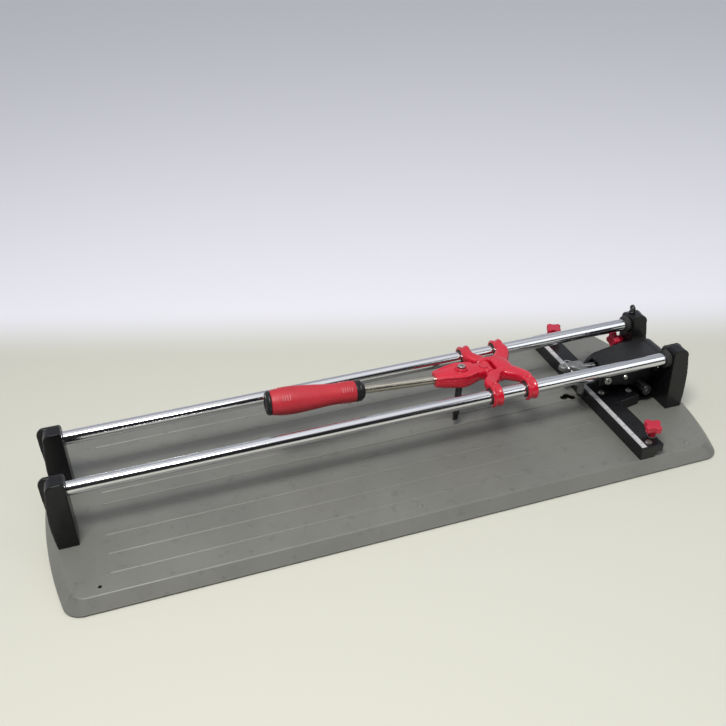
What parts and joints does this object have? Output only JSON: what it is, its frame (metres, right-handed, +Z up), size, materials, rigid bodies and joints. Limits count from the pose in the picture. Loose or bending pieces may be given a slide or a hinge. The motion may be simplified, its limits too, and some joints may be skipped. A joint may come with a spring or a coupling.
{
  "type": "manual tile cutter",
  "caption": "Manual tile cutter: pressed base, twin chromed rails, sliding scoring carriage with lever, end breaker, and T-shaped fence with clamp knobs.",
  "frame": {"origin": "centre of the base, on the surface that the rubber feet stand on", "axes": "+X along the rails towards the breaker and fence, +Y to the rear, +Z up"},
  "size_m": [0.8848, 0.329, 0.1326],
  "materials": {
    "grey_enamel": "satin grey enamel on pressed steel",
    "black_casting": "satin black powder coat on cast metal",
    "black_plastic": "moulded, fine texture",
    "rail_chrome": "hard chromed, polished",
    "red_enamel": "gloss red enamel on cast metal",
    "red_grip": "soft red rubber",
    "red_plastic": "moulded, gloss",
    "black_rubber": "matte",
    "zinc_steel": "zinc plated",
    "dark_steel": "blackened steel",
    "nickel_steel": "nickel plated, slightly worn",
    "spring_wire": "drawn spring wire",
    "grey_casting": "as-cast aluminium",
    "scale_aluminium": "anodised, printed scale",
    "nylon": "black self-lubricating nylon",
    "carbide": "ground tungsten carbide"
  },
  "bodies": {
    "base": {"base_plate": "grey_enamel", "base_feet": "black_rubber", "foot_rivets": "grey_enamel", "left_front_upright": "black_casting", "left_rear_upright": "black_casting", "right_front_upright": "black_casting", "right_rear_upright": "black_casting", "upright_bolts": "zinc_steel", "front_rail": "rail_chrome", "rear_rail": "rail_chrome", "rail_end_screws": "dark_steel", "rail_bumpers": "black_rubber", "fence_bar": "black_casting", "scale_strip": "scale_aluminium", "fence_screws": "zinc_steel", "fence_nuts": "zinc_steel", "breaker_bracket": "black_casting", "breaker_axle": "zinc_steel", "axle_sleeves": "dark_steel", "front_clamp_nut": "zinc_steel", "front_clamp_washer": "zinc_steel", "rear_clamp_nut": "zinc_steel", "rear_clamp_washer": "zinc_steel", "lock_stud": "zinc_steel"},
    "carriage": {"carriage": "red_enamel", "slide_liners": "nylon", "lever_pin": "zinc_steel", "pin_clips": "dark_steel"},
    "scoring_lever": {"lever_head": "red_enamel", "tool_screw": "zinc_steel", "tool_rod": "dark_steel", "wheel_pin": "dark_steel", "handle_rod": "nickel_steel", "grip_collar": "black_plastic", "grip": "red_grip", "grip_cap": "black_plastic"},
    "scoring_wheel": {"scoring_wheel": "carbide"},
    "breaker_lever": {"breaker_lever": "dark_steel", "breaker_cover": "black_plastic", "cover_screws": "zinc_steel", "foot_bolt": "zinc_steel", "foot_nut": "zinc_steel", "return_spring": "spring_wire"},
    "breaker_foot": {"breaker_foot": "grey_casting", "presser_pads": "black_rubber"},
    "front_clamp_knob": {"front_clamp_knob": "red_plastic"},
    "rear_clamp_knob": {"rear_clamp_knob": "red_plastic"},
    "lock_knob": {"lock_knob": "red_plastic"},
    "rail_wing_screw": {"rail_wing_screw": "dark_steel"}
  },
  "joints": [
    {"name": "carriage_slide", "type": "slide", "parent": "base", "child": "carriage", "axis": [1, 0, 0], "range_m": [-0.527, 0.14]},
    {"name": "lever_pivot", "type": "hinge", "parent": "carriage", "child": "scoring_lever", "pos_m": [0.1475, 0, 0.097], "axis": [0, 1, 0], "range_deg": [0, 60]},
    {"name": "wheel_spin", "type": "hinge", "parent": "scoring_lever", "child": "scoring_wheel", "pos_m": [0.1042, 0, 0.02952], "axis": [0, 1, 0], "continuous": true},
    {"name": "breaker_pivot", "type": "hinge", "parent": "base", "child": "breaker_lever", "pos_m": [0.377, 0, 0.038], "axis": [0, -1, 0], "range_deg": [0, 7], "stiffness_Nm_per_rad": 2, "springref_deg": -17.19},
    {"name": "foot_pivot", "type": "hinge", "parent": "breaker_lever", "child": "breaker_foot", "pos_m": [0.322, 0, 0.056], "axis": [0, 1, 0], "range_deg": [0, 3]},
    {"name": "front_knob_turn", "type": "hinge", "parent": "base", "child": "front_clamp_knob", "pos_m": [0.3265, -0.131, 0.045], "axis": [0, 0, 1], "continuous": true},
    {"name": "rear_knob_turn", "type": "hinge", "parent": "base", "child": "rear_clamp_knob", "pos_m": [0.3265, 0.136, 0.045], "axis": [0, 0, 1], "continuous": true},
    {"name": "lock_knob_turn", "type": "hinge", "parent": "base", "child": "lock_knob", "pos_m": [0.386, 0.057, 0.063], "axis": [1, 0, 0], "continuous": true},
    {"name": "wing_screw_turn", "type": "hinge", "parent": "base", "child": "rail_wing_screw", "pos_m": [0.401, 0.05, 0.11], "axis": [0, 0, 1], "continuous": true}
  ]
}
